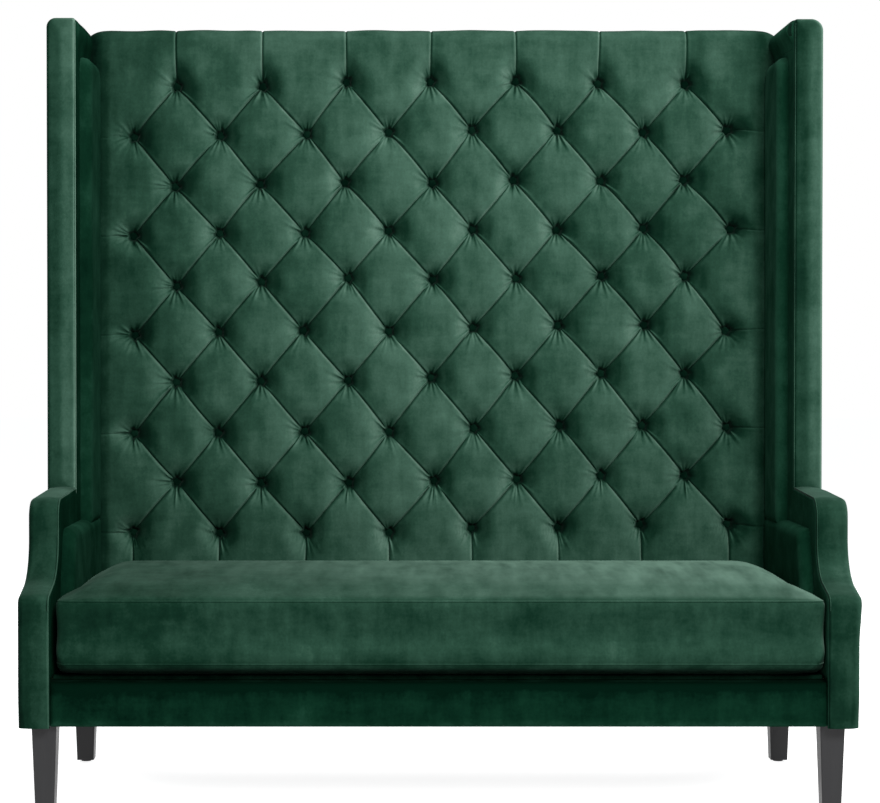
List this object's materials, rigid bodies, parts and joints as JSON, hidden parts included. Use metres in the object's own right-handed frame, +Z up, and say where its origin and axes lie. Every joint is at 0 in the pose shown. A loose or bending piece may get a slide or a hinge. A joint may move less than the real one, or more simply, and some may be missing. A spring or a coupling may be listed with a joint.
{
  "type": "high back settee",
  "caption": "High back settee with a deep-buttoned back, wings above scooped arms, one loose box seat cushion and square tapered legs.",
  "frame": {"origin": "on the floor, under the centre of the settee", "axes": "+Z up, the front faces -Y, +X to the right as seen from the front"},
  "size_m": [1.6, 0.74, 1.58],
  "materials": {
    "velvet": "short-pile cotton velvet, dark green",
    "deck_cloth": "dark green platform cloth over a thin pad",
    "leg_wood": "satin black stain",
    "frame_wood": "planed beech",
    "board": "birch plywood",
    "webbing": "woven elastic webbing",
    "dust_cloth": "black non-woven cloth",
    "foam": "upholstery foam with a fibre wrap",
    "tie_cord": "waxed twine with fibre washers",
    "steel": "zinc plated",
    "glide": "moulded, matt"
  },
  "bodies": {
    "settee": {"arm_board_inner_left": "board", "arm_board_inner_right": "board", "arm_board_outer_left": "board", "arm_board_outer_right": "board", "arm_facing_left": "velvet", "arm_facing_right": "velvet", "arm_pad_left": "velvet", "arm_pad_right": "velvet", "back_board": "board", "back_buttons": "velvet", "back_lower_rail": "frame_wood", "back_middle_rail": "frame_wood", "back_post_left": "frame_wood", "back_post_right": "frame_wood", "back_top_rail": "frame_wood", "back_tufting": "velvet", "button_ties": "tie_cord", "corner_blocks": "frame_wood", "dust_cover": "dust_cloth", "frame_centre_rail": "frame_wood", "frame_front_rail": "frame_wood", "frame_rear_rail": "frame_wood", "frame_side_rail_left": "frame_wood", "frame_side_rail_right": "frame_wood", "front_border": "velvet", "inside_lining_left": "velvet", "inside_lining_right": "velvet", "leg_bolts": "steel", "leg_front_left": "leg_wood", "leg_front_right": "leg_wood", "leg_glides": "glide", "leg_plates": "steel", "leg_rear_left": "leg_wood", "leg_rear_right": "leg_wood", "outside_back": "velvet", "outside_cover_left": "velvet", "outside_cover_right": "velvet", "seat_deck": "deck_cloth", "seat_webbing": "webbing", "side_battens_left": "frame_wood", "side_battens_right": "frame_wood", "wing_board_inner_left": "board", "wing_board_inner_right": "board", "wing_board_outer_left": "board", "wing_board_outer_right": "board", "wing_facing_left": "velvet", "wing_facing_right": "velvet", "wing_pad_left": "velvet", "wing_pad_right": "velvet"},
    "cushion": {"seat_cushion_cover": "velvet", "seat_cushion_foam": "foam"}
  },
  "joints": [
    {"name": "cushion_lift", "type": "slide", "parent": "settee", "child": "cushion", "axis": [0, 0, 1], "range_m": [0, 0.4]}
  ]
}
